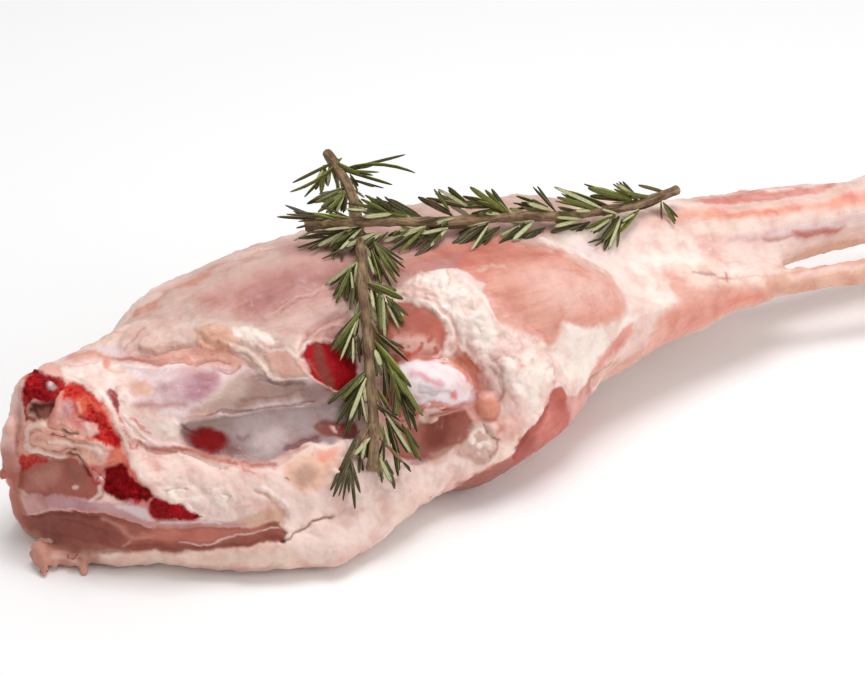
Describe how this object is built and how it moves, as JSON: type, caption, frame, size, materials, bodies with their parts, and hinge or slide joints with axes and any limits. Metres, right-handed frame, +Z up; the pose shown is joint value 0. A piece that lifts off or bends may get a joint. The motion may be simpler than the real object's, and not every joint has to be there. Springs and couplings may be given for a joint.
{
  "type": "raw leg of lamb",
  "caption": "Raw leg of lamb on the bone with the hip cut, hock and tendon gap showing, topped with crossed rosemary sprigs.",
  "frame": {"origin": "middle of the underside of the bounding box, on the surface that the leg lies on", "axes": "+X along the leg from the hip end towards the hock, +Y towards the far side, away from the tendon, +Z up"},
  "size_m": [0.5202, 0.183, 0.1304],
  "materials": {
    "raw_lamb": "moist, from pink muscle to cream fat",
    "bone": "white cartilage, red and spongy where sawn",
    "rosemary": "satin green leaves on a brown stem"
  },
  "bodies": {
    "root": {"leg": "raw_lamb", "pelvis_bone": "bone", "hock_bone": "bone", "rosemary_sprig_long": "rosemary", "rosemary_sprig_upright": "rosemary"}
  },
  "joints": []
}
